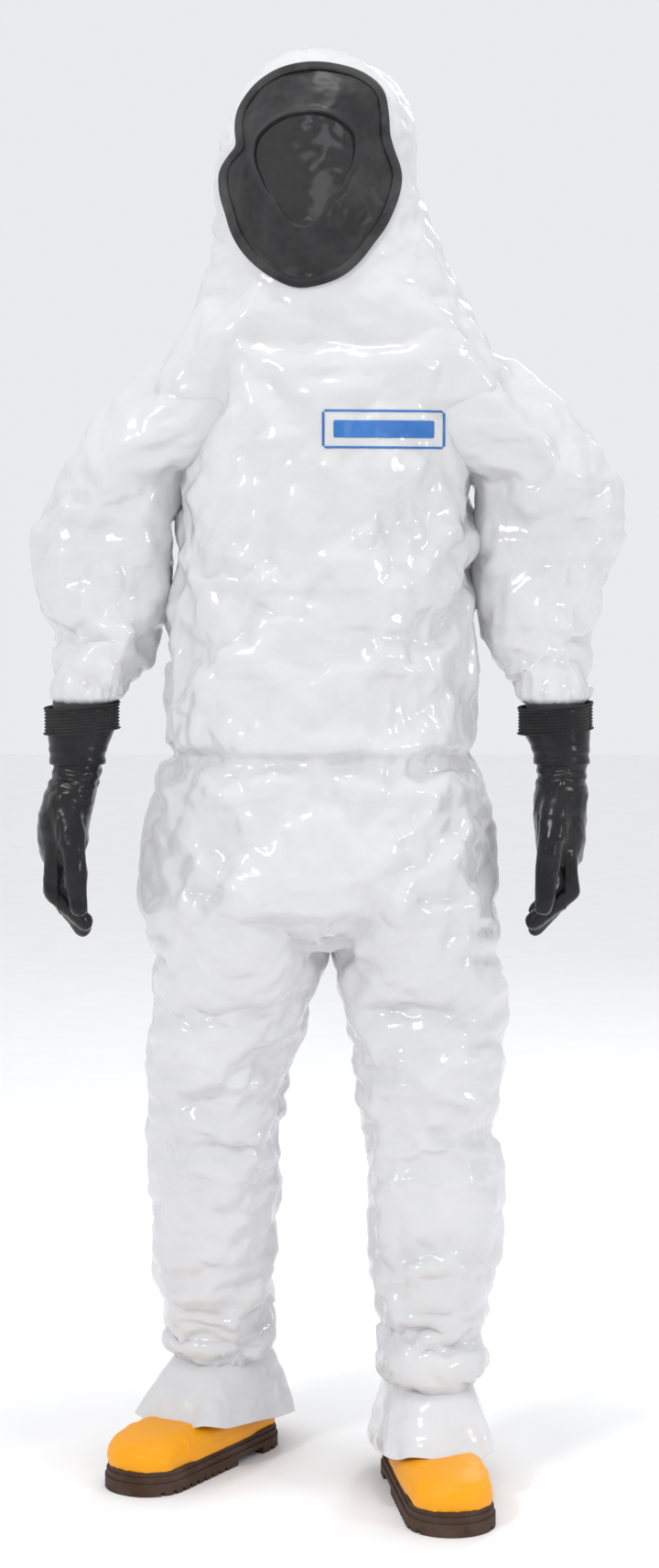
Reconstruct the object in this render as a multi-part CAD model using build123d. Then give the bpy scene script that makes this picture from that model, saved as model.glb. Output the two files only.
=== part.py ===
from build123d import *
from math import cos, radians, sin
import os

# Chemical protective suit with fitted gloves and boots, as it stands on an adult.
# Millimetres, +Z up. The front faces -Y and the wearer's right side is at -X.
# The origin is on the floor, under the middle of the whole suit.
os.makedirs("parts", exist_ok=True)

# Driving dimensions
HEIGHT = 1862.0           # floor to the crown of the hood
FILM = 1.2                # wall of the coated film, with its inner lining
SHIFT = (0.43, 28.14)     # moves the middle of the suit over the origin, from the body's centre line
CLEARANCE = 0.3           # between pieces that move past each other
SOLE_HEIGHT = 30.0
CREST = 1470.0            # top of the jacket, where the neck of the hood starts
HOOD_BASE = 1545.0        # lowest edge of the stiff part of the hood
WAIST = 940.0             # seam between jacket and trousers
SEAT_BASE = 760.0         # lowest edge of the stiff part of the seat
THIGH_TOP = 690.0
THIGH_BASE = 620.0
SHIN_TOP = 440.0
SHIN_BASE = 190.0
ANKLE_BAND = 112.0        # top of the ankle elastic
SLEEVE_TOP = 1300.0
ELBOW_TOP = 1240.0
ELBOW_BASE = 1100.0
SLEEVE_BASE = 1002.0
CUFF_BASE = 970.0         # lower edge of the glove's ribbed band
GAUNTLET_BASE = 950.0
HAND_TOP = 926.0
BACK = 131.6              # plane of the rear zip, just clear of the jacket
ZIP_X = -12.0             # middle of the rear zip
ZIP_TOP = 1400.0
ZIP_BASE = 965.0
FLAP_TOP = 1360.0
FLAP_BASE = 950.0
TOOTH_PITCH = 6.0
BOOT_LENGTH = 306.0
BOOT_WIDTH = 106.0
HEEL_BACK = 82.0          # heel behind the ankle's centre

# Each ring is x, y, z of its centre and its two half widths.
JACKET = [
    (-16, 2, WAIST, 200, 128),
    (-22, 2, 1040, 192, 128),
    (-3, 2, 1150, 184, 128),
    (0, 2, 1345, 184, 128),
    (0, 3, 1430, 184, 124),
    (0, 6, CREST, 180, 112),
]
SEAT = [
    (-16, 2, WAIST, 200, 128),
    (-15, 3, 860, 221, 134),
    (-13, 4, SEAT_BASE, 226, 132),
]
NECK = [
    (0, 6, CREST, 180, 112),
    (2, 7, 1510, 174, 116),
    (4, 8, HOOD_BASE, 163, 118),
]
HOOD = [
    (4, 8, HOOD_BASE, 163, 118),
    (1, 9, 1570, 150, 119),
    (-6, 10, 1610, 138, 120),
    (-18, 12, 1680, 131, 118),
    (-14, 14, 1740, 128, 116),
    (-9, 16, 1790, 112, 104),
    (-16, 18, 1830, 76, 76),
    (-22, 20, 1853, 42, 44),
    (-24, 20, HEIGHT - 1, 12, 13),
]

# The two sides of the body differ, because the suit stands with one foot back and turned out.
RIGHT = {
    "name": "right",
    "side": -1,
    "sleeve": [(270, 12, SLEEVE_TOP, 79, 76), (288, 16, ELBOW_TOP, 94, 66)],
    "elbow": [(290, 24, 1190, 92, 70), (296, 8, ELBOW_BASE, 68, 62)],
    "forearm": [(305, -4, 1055, 60, 54), (321, -20, SLEEVE_BASE, 45, 46)],
    "wrist": (326, -30),
    "hand": (344, -38),
    "curl": 314,
    "hip": [(124, 5, SEAT_BASE, 111, 128), (120, 8, THIGH_TOP, 104, 112)],
    "thigh": (129, 15, THIGH_BASE, 103, 85),
    "knee": [(142, 28, 530, 94, 84), (151, 50, SHIN_TOP, 85, 72)],
    "shin": [(152, 70, 320, 79, 74), (147, 94, SHIN_BASE, 74, 72)],
    "ankle": (142, 105),
    "turn": -32.0,
}
LEFT = {
    "name": "left",
    "side": 1,
    "sleeve": [(283, 12, SLEEVE_TOP, 92, 76), (288, 16, ELBOW_TOP, 94, 66)],
    "elbow": [(278, 24, 1185, 84, 70), (276, 8, ELBOW_BASE, 66, 62)],
    "forearm": [(284, -4, 1055, 57, 54), (293, -20, SLEEVE_BASE, 46, 46)],
    "wrist": (300, -30),
    "hand": (298, -36),
    "curl": 245,
    "hip": [(100, 5, SEAT_BASE, 111, 128), (115, 6, THIGH_TOP, 101, 112)],
    "thigh": (122, 2, THIGH_BASE, 103, 85),
    "knee": [(131, -8, 530, 94, 84), (134, -16, SHIN_TOP, 86, 72)],
    "shin": [(138, -14, 320, 78, 74), (128, -20, SHIN_BASE, 64, 68)],
    "ankle": (127, -26),
    "turn": 7.6,
}


def save(shape, node):
    """Writes one node at its place over the origin."""
    export_step(Pos(SHIFT[0], SHIFT[1], 0) * shape, f"parts/{node}.step")


def section(x, y, z, rx, ry, inset=0.0):
    """A level elliptical section, drawn in by inset."""
    return Pos(x, y, z) * Ellipse(rx - inset, ry - inset)


def form(rings, inset=0.0):
    """The solid that passes through level rings."""
    return loft([section(*ring, inset) for ring in rings])


def tube(rings, wall=FILM):
    """An open tube of film through level rings."""
    return form(rings) - form(rings, wall)


def mirrored(rings, side):
    """Rings given outward from the centre line, put on their own side."""
    return [(side * x, y, z, rx, ry) for x, y, z, rx, ry in rings]


def band(x, y, low, high, rx, ry, wall):
    """A straight elliptical band that stands between two heights."""
    outer = extrude(section(x, y, low, rx, ry), high - low)
    return outer - extrude(section(x, y, low, rx, ry, wall), high - low)


def box(x, y, z):
    """A box between two limits on each axis."""
    size = (x[1] - x[0], y[1] - y[0], z[1] - z[0])
    return Pos(sum(x) / 2, sum(y) / 2, sum(z) / 2) * Box(*size)


def shoulder_form(arm, inset=0.0):
    """The sleeve's root: it leaves the chest sideways and bends down into the sleeve."""
    side = arm["side"]
    x, y, z, rx, ry = arm["sleeve"][0]
    root = Plane((side * 120, 4, 1385), x_dir=(0, 0, 1), z_dir=(side, 0, 0))
    bend = Plane((side * (x - 44), 6, 1357), x_dir=(side * 0.655, 0, 0.756), z_dir=(side * 0.756, 0, -0.655))
    foot = Plane((side * x, y, z + CLEARANCE), x_dir=(side, 0, 0), z_dir=(0, 0, -1))
    return loft(
        [
            root * Ellipse(84 - inset, 92 - inset),
            bend * Ellipse(68 - inset, 86 - inset),
            foot * Ellipse(rx - inset, ry - inset),
        ]
    )


def make_jacket():
    """Jacket with its two armholes, and the roots of both sleeves."""
    shell = tube(JACKET)
    solid = form(JACKET)
    for arm in (RIGHT, LEFT):
        hollow = shoulder_form(arm, FILM)
        shell = shell - hollow
        save(shoulder_form(arm) - hollow - solid, f"shoulder_{arm['name']}")
    save(shell, "jacket_shell")
    label = box((-9, 116), (-131, -60), (1333, 1382)) & (form(JACKET, -1.4) - form(JACKET, -0.4))
    save(label, "chest_label")


def make_seat():
    """Seat of the trousers and the elastic inside the waist seam."""
    save(tube(SEAT), "trouser_seat")
    save(band(-16, 2, WAIST - 12, WAIST + 12, 190, 120, 1.6), "waist_elastic")


# Half outline of the face seal, x from its middle and z, down the wearer's left side.
SEAL_X = -24.0
SEAL_RIM = [(0, 1842), (62, 1822), (92, 1776), (112, 1700), (86, 1610), (46, 1566), (0, 1552)]
SEAL_MOUTH = [(0, 1772), (38, 1766), (64, 1742), (48, 1690), (26, 1640), (0, 1622)]


def outline(points, shrink=0.0):
    """A closed smooth face in front of the head, the same on both sides, drawn in by shrink."""
    middle = (points[0][1] + points[-1][1]) / 2
    width = 1 - shrink / max(x for x, _ in points)
    height = 1 - shrink / (points[0][1] - middle)
    half = [(x * width, middle + (z - middle) * height) for x, z in points]
    near = [(SEAL_X + x, z) for x, z in half]
    far = [(SEAL_X - x, z) for x, z in half[-2:0:-1]]
    return Plane.XZ * make_face(Spline(*near, *far, periodic=True))


def make_head():
    """Hood with its face hole, the rubber seal in it and the binding round the seal."""
    rim = outline(SEAL_RIM)
    hole = outline(SEAL_RIM, 14)
    edge = outline(SEAL_RIM, 11)
    mouth = outline(SEAL_MOUTH)
    front = 400
    shell = form(HOOD) - form(HOOD[:-1], FILM)
    save(shell - extrude(hole, front), "hood_shell")
    seal = (form(HOOD, -2.8) - form(HOOD, -0.3)) & extrude(rim, front)
    save(seal - extrude(mouth, front), "face_seal")
    binding = (form(HOOD, -5.6) - form(HOOD, -3.0)) & extrude(rim, front)
    save(binding - extrude(edge, front), "seal_binding")


def make_sleeve(arm):
    """Sleeve of one arm, from the shoulder to the ring that holds the glove."""
    name = arm["name"]
    side = arm["side"]
    save(tube(mirrored(arm["sleeve"], side)), f"upper_sleeve_{name}")
    save(tube(mirrored([arm["sleeve"][1]] + arm["elbow"], side)), f"elbow_{name}")
    save(tube(mirrored([arm["elbow"][1]] + arm["forearm"], side)), f"lower_sleeve_{name}")
    x, y, _, rx, ry = arm["forearm"][-1]
    ring = band(side * x, y, CUFF_BASE + 1, SLEEVE_BASE + 8, 38, 38, 3.0)
    save(ring, f"cuff_ring_{name}")
    ribs = band(side * x, y, CUFF_BASE, SLEEVE_BASE - 1, 44.4, 44.4, 2.6)
    for level in range(3):
        height = CUFF_BASE + 5 + 8 * level
        ribs = ribs + band(side * x, y, height, height + 4, 45.2, 45.2, 2.0)
    save(ribs, f"glove_band_{name}")


def finger(points, radius):
    """A closed finger: round bones from knuckle to tip, with joints a little thicker."""
    joint = radius + 0.7
    shape = Pos(*points[0]) * Sphere(joint)
    for start, end in zip(points, points[1:]):
        line = Line(start, end)
        bone = Plane(start, z_dir=line % 0) * Circle(radius)
        shape = shape + extrude(bone, line.length) + Pos(*end) * Sphere(joint)
    return shape


def hand_form(arm, inset=0.0):
    """Palm, four curled fingers and the thumb, drawn in by inset."""
    side = arm["side"]
    wx, wy = arm["wrist"]
    hx, hy = arm["hand"]
    hand = form(
        [
            (side * wx, wy, HAND_TOP, 33, 35),
            (side * (wx + hx) / 2, hy, 890, 33, 43),
            (side * hx, hy, 845, 31, 44),
            (side * hx, hy + 2, 800, 24, 41),
        ],
        inset,
    )
    for number, (reach, drop) in enumerate([(-30, 728), (-10, 716), (10, 716), (30, 732)]):
        y = hy + reach
        knuckle = (side * (hx + 8), y, 806)
        middle = (side * (hx + 10), y + 2, 764)
        tip = (side * (arm["curl"] + number * 2), y + 6, drop)
        hand = hand + finger([knuckle, middle, tip], 12 - inset)
    base = (side * (hx - 8), hy - 30, 872)
    bend = (side * (hx - 16), hy - 58, 815)
    tip = (side * (hx - 18), hy - 62, 752)
    return hand + finger([base, bend, tip], 14 - inset)


def make_glove(arm):
    """Rubber glove: the gauntlet, the part that bends at the wrist and the hand."""
    name = arm["name"]
    side = arm["side"]
    x, y, _, _, _ = arm["forearm"][-1]
    wx, wy = arm["wrist"]
    top = (side * x, y, SLEEVE_BASE - 1, 41.5, 41.5)
    low = (side * x, y, CUFF_BASE, 41.5, 41.5)
    neck = (side * (x + wx) / 2, (y + wy) / 2, GAUNTLET_BASE, 35, 36)
    straight = band(side * x, y, CUFF_BASE, SLEEVE_BASE - 1, 41.5, 41.5, 2.0)
    save(straight + tube([low, neck], 2.0), f"glove_gauntlet_{name}")
    save(tube([neck, (side * wx, wy, HAND_TOP, 33, 35)], 2.0), f"glove_wrist_{name}")
    save(hand_form(arm) - hand_form(arm, 2.0), f"glove_hand_{name}")


def make_leg(leg):
    """Trouser leg, from the hip to just above the ankle elastic."""
    name = leg["name"]
    side = leg["side"]
    ax, ay = leg["ankle"]
    hem = (ax, ay, ANKLE_BAND + 4, 56, 66)
    save(tube(mirrored(leg["hip"], side)), f"hip_{name}")
    save(tube(mirrored([leg["hip"][1], leg["thigh"]], side)), f"upper_leg_{name}")
    save(tube(mirrored([leg["thigh"]] + leg["knee"], side)), f"knee_{name}")
    save(tube(mirrored([leg["knee"][1]] + leg["shin"], side)), f"lower_leg_{name}")
    save(tube(mirrored([leg["shin"][1], hem], side)), f"ankle_{name}")


# Height, heel and toe from the ankle's centre, and width of the boot's upper.
BOOT = [
    (SOLE_HEIGHT, -78, 222, 104),
    (48, -79, 216, 103),
    (62, -80, 176, 100),
    (72, -79, 112, 97),
    (98, -74, 62, 93),
    (ANKLE_BAND + 3, -72, 56, 92),
]


def slot(width, length):
    """A long plate outline with round ends."""
    return RectangleRounded(width, length, width * 0.49)


def boot_form(inset=0.0, rise=0.0):
    """The boot's upper in its own frame, toe along -Y, drawn in by inset."""
    rings = []
    for height, heel, toe, width in BOOT:
        plate = slot(width - 2 * inset, toe - heel - 2 * inset)
        rings.append(Pos(0, -(toe + heel) / 2, height + rise) * plate)
    return loft(rings, ruled=True)


def sole_layer(length, width, low, high):
    """One step of the sole."""
    middle = HEEL_BACK - BOOT_LENGTH / 2
    return extrude(Pos(0, middle, low) * slot(width, length), high - low)


def make_sole():
    """Outsole with stepped foxing, a raised arch and cleats across it."""
    sole = sole_layer(BOOT_LENGTH + 8, BOOT_WIDTH + 6, 0, 16)
    sole = sole + sole_layer(BOOT_LENGTH + 4, BOOT_WIDTH + 2, 16, 24)
    sole = sole + sole_layer(BOOT_LENGTH, BOOT_WIDTH - 2, 24, SOLE_HEIGHT)
    half = BOOT_WIDTH
    sole = sole - box((-half, half), (-48, 12), (-1, 9))
    for row in range(9):
        front = -74 - 16 * row
        sole = sole - box((-half, half), (front - 5, front), (-1, 5))
    for row in range(3):
        front = 30 + 16 * row
        sole = sole - box((-half, half), (front, front + 5), (-1, 5))
    return sole


def make_boot(leg):
    """Boot with sole, insole and toe cap, and the elastic and skirt that lie over it."""
    name = leg["name"]
    x, y = leg["ankle"]
    place = Pos(leg["side"] * x, y, 0) * Rot(0, 0, leg["turn"])
    save(place * make_sole(), f"boot_sole_{name}")
    save(place * (boot_form() - boot_form(3.2)), f"boot_upper_{name}")
    insole = extrude(Pos(0, -72, SOLE_HEIGHT) * slot(94, 288), 4)
    save(place * insole, f"boot_insole_{name}")
    cap_zone = box((-60, 60), (-230, -158), (SOLE_HEIGHT + 5, 70))
    save(place * ((boot_form(3.6, -0.3) - boot_form(5.6, -2.2)) & cap_zone), f"toe_cap_{name}")
    save(place * ankle_elastic_form(), f"ankle_elastic_{name}")
    save(place * (skirt_form() - skirt_form(FILM)), f"boot_skirt_{name}")


def ankle_elastic_form():
    """Elastic that grips the boot's collar."""
    low = ANKLE_BAND - 14
    outer = extrude(Pos(0, 7, low) * slot(100, 149), 14)
    return outer - extrude(Pos(0, 7, low) * slot(96, 145), 14)


def skirt_form(inset=0.0):
    """Flared skirt from the ankle elastic down over the boot, higher in front, drawn in by inset."""
    tilt = radians(9)
    hem = Plane((0, -10, 68), x_dir=(1, 0, 0), z_dir=(0, sin(tilt), cos(tilt)))
    top = Pos(0, 7, ANKLE_BAND + 3) * slot(104 - 2 * inset, 153 - 2 * inset)
    return loft([hem * slot(158 - 2 * inset, 208 - 2 * inset), top])


def make_zip():
    """Rear zip on the jacket: tapes, teeth, stops, placket and the strip that holds the flap."""
    run = (ZIP_BASE, ZIP_TOP + 12)
    save(box((ZIP_X - 18, ZIP_X - 3.2), (BACK, BACK + 0.8), run), "zip_tape_right")
    save(box((ZIP_X + 3.2, ZIP_X + 18), (BACK, BACK + 0.8), run), "zip_tape_left")
    teeth = []
    count = int((ZIP_TOP - ZIP_BASE) / TOOTH_PITCH)
    for number in range(count):
        low = ZIP_BASE + 4 + TOOTH_PITCH * number
        lean = 0.9 if number % 2 else -0.9
        span = (ZIP_X + lean - 2.0, ZIP_X + lean + 2.0)
        teeth.append(box(span, (BACK, BACK + 1.8), (low, low + TOOTH_PITCH - 2.2)))
    save(Compound(teeth), "zip_teeth")
    low_stop = box((ZIP_X - 3, ZIP_X + 3), (BACK, BACK + 2.6), (ZIP_BASE - 6, ZIP_BASE))
    top_stop = box((ZIP_X - 3, ZIP_X + 3), (BACK, BACK + 2.6), (ZIP_TOP + 14, ZIP_TOP + 20))
    save(Compound([low_stop, top_stop]), "zip_stops")
    save(box((ZIP_X + 20, ZIP_X + 40), (BACK, BACK + 2.7), (FLAP_BASE, FLAP_TOP)), "zip_placket")
    loop_y = (BACK + 2.7, BACK + 4.1)
    save(box((ZIP_X + 22, ZIP_X + 38), loop_y, (FLAP_BASE + 6, FLAP_TOP - 6)), "loop_strip")
    root = box((ZIP_X - 40, ZIP_X - 30), (BACK, BACK + 5.4), (FLAP_BASE, FLAP_TOP))
    save(root, "flap_root")


def make_slider():
    """Slider over the teeth, with a lug for its pull, and the pull folded up."""
    x = (ZIP_X - 5.6, ZIP_X + 5.6)
    z = (ZIP_TOP - 8, ZIP_TOP + 8)
    plate = box(x, (BACK + 2.2, BACK + 3.6), z)
    for edge in (-1, 1):
        rail = sorted((ZIP_X + edge * 4.2, ZIP_X + edge * 5.6))
        plate = plate + box(rail, (BACK + 1.1, BACK + 2.2), z)
        lug = sorted((ZIP_X + edge * 2.2, ZIP_X + edge * 3.4))
        plate = plate + box(lug, (BACK + 3.6, BACK + 5.4), (ZIP_TOP - 2, ZIP_TOP + 2))
    save(plate, "zip_slider")
    tab = box((ZIP_X - 4.5, ZIP_X + 4.5), (BACK + 4.1, BACK + 5.3), (ZIP_TOP + 3.4, ZIP_TOP + 32))
    tab = tab + box((ZIP_X - 1.8, ZIP_X + 1.8), (BACK + 4.1, BACK + 5.3), (ZIP_TOP - 0.6, ZIP_TOP + 4))
    save(tab, "zip_pull")


def make_flap():
    """Storm flap over the zip and the hook strip inside its free edge."""
    plate = box((ZIP_X - 40, ZIP_X + 42), (BACK + 5.9, BACK + 7.1), (FLAP_BASE, FLAP_TOP))
    save(plate, "storm_flap")
    hook_y = (BACK + 4.4, BACK + 5.9)
    save(box((ZIP_X + 22, ZIP_X + 38), hook_y, (FLAP_BASE + 6, FLAP_TOP - 6)), "hook_strip")


make_jacket()
make_seat()
save(tube(NECK), "hood_neck")
make_head()
for body_side in (RIGHT, LEFT):
    make_sleeve(body_side)
    make_glove(body_side)
    make_leg(body_side)
    make_boot(body_side)
make_zip()
make_slider()
make_flap()
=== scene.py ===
import bpy
import bmesh
import math
import numpy as np
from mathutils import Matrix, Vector
from mathutils.bvhtree import BVHTree


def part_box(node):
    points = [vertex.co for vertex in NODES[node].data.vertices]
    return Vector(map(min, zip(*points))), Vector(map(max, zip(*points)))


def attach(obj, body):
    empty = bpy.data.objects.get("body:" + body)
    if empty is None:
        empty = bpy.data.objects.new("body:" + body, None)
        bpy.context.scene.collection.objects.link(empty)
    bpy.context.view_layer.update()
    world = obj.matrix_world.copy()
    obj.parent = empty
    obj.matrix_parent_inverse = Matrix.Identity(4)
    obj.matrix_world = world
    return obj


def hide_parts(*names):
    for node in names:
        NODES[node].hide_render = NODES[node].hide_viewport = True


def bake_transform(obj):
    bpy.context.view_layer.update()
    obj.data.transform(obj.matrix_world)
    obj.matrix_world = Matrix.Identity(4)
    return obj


# Looks of the chemical protective suit. Metres, front towards -Y, the wearer's left towards +X.
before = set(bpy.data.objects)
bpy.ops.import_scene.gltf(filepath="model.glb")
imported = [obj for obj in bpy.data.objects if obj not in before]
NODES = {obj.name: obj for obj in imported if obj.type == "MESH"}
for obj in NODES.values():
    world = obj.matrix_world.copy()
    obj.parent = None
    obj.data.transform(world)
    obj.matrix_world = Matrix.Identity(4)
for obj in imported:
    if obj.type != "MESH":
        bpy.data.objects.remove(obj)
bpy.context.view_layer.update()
scene = bpy.context.scene
SIDES = ("right", "left")

# ---- camera, light and floor
BODY_X = 0.0004               # the body's centre line and plane, from the frame's origin
BODY_Y = 0.028
CAMERA_DISTANCE = 4.0
CAMERA_HEIGHT = 1.25
LENS = 70.5
FRAMING = -0.172              # the suit stands below the camera's axis


def make_camera():
    """A level camera in front of the suit."""
    data = bpy.data.cameras.new("camera")
    data.lens = LENS
    data.sensor_width = 36.0
    data.shift_y = FRAMING
    camera = bpy.data.objects.new("camera", data)
    camera.location = (BODY_X, BODY_Y - CAMERA_DISTANCE, CAMERA_HEIGHT)
    camera.rotation_euler = (math.radians(90), 0, 0)
    scene.collection.objects.link(camera)
    scene.camera = camera


def area_light(name, place, target, size, power):
    """A square soft box that points at a target."""
    data = bpy.data.lights.new(name, "AREA")
    data.size = size
    data.energy = power
    light = bpy.data.objects.new(name, data)
    light.location = place
    aim = Vector(target) - Vector(place)
    light.rotation_euler = aim.to_track_quat("-Z", "Y").to_euler()
    scene.collection.objects.link(light)


def make_studio():
    """Pale floor, soft boxes and an even pale sky."""
    area_light("key", (-2.2, -3.0, 3.4), (0, 0, 1.1), 0.7, 48)
    area_light("fill", (3.2, -2.2, 1.8), (0, 0, 0.9), 0.5, 22)
    area_light("rim", (1.2, 3.0, 3.0), (0, 0, 1.2), 0.8, 24)
    area_light("top", (0.2, -0.4, 4.2), (0, 0, 0.9), 0.5, 22)
    scene.view_settings.view_transform = "Standard"
    world = bpy.data.worlds.new("studio")
    world.use_nodes = True
    sky = world.node_tree.nodes["Background"]
    sky.inputs["Color"].default_value = (0.98, 0.985, 1.0, 1)
    sky.inputs["Strength"].default_value = 0.84
    scene.world = world
    half = 12.0
    corners = [(-half, -half, 0), (half, -half, 0), (half, half, 0), (-half, half, 0)]
    floor = new_mesh("floor", corners, [(0, 1, 2, 3)])
    shade_smooth(floor)
    floor.data.materials.append(paint("floor", (0.97, 0.97, 0.975), 0.7))


# ---- mesh helpers
def new_mesh(name, verts, faces):
    """A mesh object from lists of points and faces."""
    mesh = bpy.data.meshes.new(name)
    mesh.from_pydata([tuple(v) for v in verts], [], [tuple(f) for f in faces])
    mesh.update()
    made = bpy.data.objects.new(name, mesh)
    scene.collection.objects.link(made)
    return made


def shade_smooth(piece):
    """Smooth shading on every face."""
    piece.data.polygons.foreach_set("use_smooth", [True] * len(piece.data.polygons))


def points_of(piece):
    """The vertices of a mesh as an array."""
    flat = np.empty(len(piece.data.vertices) * 3, np.float32)
    piece.data.vertices.foreach_get("co", flat)
    return flat.reshape(-1, 3).astype(float)


def normals_of(piece):
    """The vertex normals of a mesh as an array."""
    flat = np.empty(len(piece.data.vertices) * 3, np.float32)
    piece.data.vertex_normals.foreach_get("vector", flat)
    return flat.reshape(-1, 3).astype(float)


def put_points(piece, points):
    """Moves the vertices of a mesh to new places."""
    piece.data.vertices.foreach_set("co", points.astype(np.float32).ravel())
    piece.data.update()


def baked(piece):
    """Applies every modifier of a piece."""
    graph = bpy.context.evaluated_depsgraph_get()
    mesh = bpy.data.meshes.new_from_object(piece.evaluated_get(graph))
    piece.modifiers.clear()
    piece.data = mesh
    return piece


def modified(piece, kind, **settings):
    """Adds one modifier and applies it."""
    modifier = piece.modifiers.new(kind.lower(), kind)
    for key, value in settings.items():
        setattr(modifier, key, value)
    return baked(piece)


def subdivide(piece):
    """One applied level of subdivision."""
    return modified(piece, "SUBSURF", levels=1, render_levels=1)


def level(x, y, z, rx, ry, count=48):
    """A level ellipse of points."""
    turn = np.linspace(0, 2 * np.pi, count, endpoint=False)
    return np.stack([x + rx * np.cos(turn), y + ry * np.sin(turn), np.full(count, z)], 1)


def pairs(rings):
    """Each ring with the next, as clouds whose hulls follow a hollow form."""
    return [np.concatenate(pair) for pair in zip(rings, rings[1:])]


def hulls(clouds):
    """Closed convex hulls of several clouds of points, in one mesh's lists."""
    verts = []
    faces = []
    for cloud in clouds:
        solid = bmesh.new()
        for point in cloud:
            solid.verts.new(point)
        found = bmesh.ops.convex_hull(solid, input=solid.verts, use_existing_faces=False)
        loose = [v for v in found["geom_interior"] if isinstance(v, bmesh.types.BMVert)]
        bmesh.ops.delete(solid, geom=loose, context="VERTS")
        solid.verts.index_update()
        start = len(verts)
        verts += [tuple(v.co) for v in solid.verts]
        faces += [tuple(start + v.index for v in f.verts) for f in solid.faces]
        solid.free()
    return verts, faces


def delete_faces(piece, gone):
    """Deletes the faces whose numbers are flagged in gone, and what they leave loose."""
    solid = bmesh.new()
    solid.from_mesh(piece.data)
    solid.faces.ensure_lookup_table()
    doomed = [solid.faces[i] for i in np.flatnonzero(gone)]
    bmesh.ops.delete(solid, geom=doomed, context="FACES")
    solid.to_mesh(piece.data)
    solid.free()
    piece.data.update()


def face_centres(piece):
    """The centre of every face as an array."""
    flat = np.empty(len(piece.data.polygons) * 3, np.float32)
    piece.data.polygons.foreach_get("center", flat)
    return flat.reshape(-1, 3).astype(float)


# ---- noise
def lattice(cells, seed):
    """A repeatable random direction for every cell of a lattice."""
    mixed = cells[:, 0] * 73856093 ^ cells[:, 1] * 19349663
    mixed = mixed ^ cells[:, 2] * 83492791 ^ seed * 2654435761
    mixed = (mixed ^ (mixed >> 13)) * 1274126177
    angle = ((mixed & 0xFFFF) / 65535.0) * 2 * np.pi
    rise = (((mixed >> 16) & 0xFFFF) / 65535.0) * 2 - 1
    flat = np.sqrt(1 - rise * rise)
    return np.stack([flat * np.cos(angle), flat * np.sin(angle), rise], 1)


def wave(points, seed=1):
    """Smooth gradient noise, about -0.7 to 0.7, with cells of one unit."""
    base = np.floor(points).astype(np.int64)
    part = points - base
    ease = part ** 3 * (part * (part * 6 - 15) + 10)
    total = np.zeros(len(points))
    for corner in range(8):
        step = np.array([corner & 1, corner >> 1 & 1, corner >> 2 & 1])
        share = np.prod(np.where(step == 1, ease, 1 - ease), 1)
        slope = lattice(base + step, seed)
        total += share * np.einsum("ij,ij->i", slope, part - step)
    return total


def crease(points, size, seed, warp=0.35):
    """Crisp folds: ridges at 0 with valleys down to about -0.6, a size apart."""
    scaled = points / size
    bend = np.stack([wave(scaled * 0.7, seed + 11 + i) for i in range(3)], 1)
    return -np.abs(wave(scaled + warp * 2.2 * bend, seed))


def facets(points, size, count, seed):
    """Flat facets between straight sharp folds, each set of folds in its own patches, up to about 1 high."""
    random = np.random.default_rng(seed)
    bend = 0.30 * wave(points / 0.22, seed + 5)
    total = np.zeros(len(points))
    for number in range(count):
        way = random.normal(size=3)
        way /= np.linalg.norm(way)
        run = points @ way / (size * random.uniform(0.7, 1.4)) + random.uniform() + bend
        patch = rise(wave(points / (size * 1.4), seed + 20 + number), -0.15, 0.20)
        total += patch * (2 * np.abs(run % 1 - 0.5) - 0.5)
    return total / math.sqrt(count)


def rise(value, low, high):
    """0 below low, 1 above high and smooth between."""
    part = np.clip((value - low) / (high - low), 0, 1)
    return part * part * (3 - 2 * part)


def bump(value, middle, reach):
    """1 at middle and 0 a few reaches away."""
    return np.exp(-((value - middle) / reach) ** 2)


# ---- materials
def shader(name):
    """A new material, its node tree and its principled shader."""
    material = bpy.data.materials.new(name)
    material.use_nodes = True
    tree = material.node_tree
    return material, tree, tree.nodes["Principled BSDF"]


def node(tree, kind, **inputs):
    """A node with its inputs set by name."""
    made = tree.nodes.new(kind)
    for key, value in inputs.items():
        made.inputs[key.replace("_", " ")].default_value = value
    return made


def place_in(tree, stretch=(1, 1, 1)):
    """The surface's own place, in metres, stretched per axis."""
    where = tree.nodes.new("ShaderNodeTexCoord")
    scale = tree.nodes.new("ShaderNodeMapping")
    scale.inputs["Scale"].default_value = stretch
    tree.links.new(where.outputs["Object"], scale.inputs["Vector"])
    return scale.outputs["Vector"]


def ramp(tree, source, low, high, dark=(0, 0, 0, 1), light=(1, 1, 1, 1)):
    """A two-colour ramp between two levels of a value."""
    made = tree.nodes.new("ShaderNodeValToRGB")
    made.color_ramp.elements[0].position = low
    made.color_ramp.elements[1].position = high
    made.color_ramp.elements[0].color = dark
    made.color_ramp.elements[1].color = light
    tree.links.new(source, made.inputs["Fac"])
    return made.outputs["Color"]


def add_bump(tree, principled, height, strength, distance):
    """Stacks a bump on the shader's normal."""
    made = node(tree, "ShaderNodeBump", Strength=strength, Distance=distance)
    tree.links.new(height, made.inputs["Height"])
    old = principled.inputs["Normal"]
    if old.links:
        tree.links.new(old.links[0].from_socket, made.inputs["Normal"])
    tree.links.new(made.outputs["Normal"], principled.inputs["Normal"])


def noise_value(tree, scale, detail, stretch=(1, 1, 1), kind="FBM", roughness=0.5):
    """The value of a noise over the surface."""
    made = node(tree, "ShaderNodeTexNoise", Scale=scale, Detail=detail, Roughness=roughness)
    made.noise_type = kind
    tree.links.new(place_in(tree, stretch), made.inputs["Vector"])
    return made.outputs["Fac"]


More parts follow.
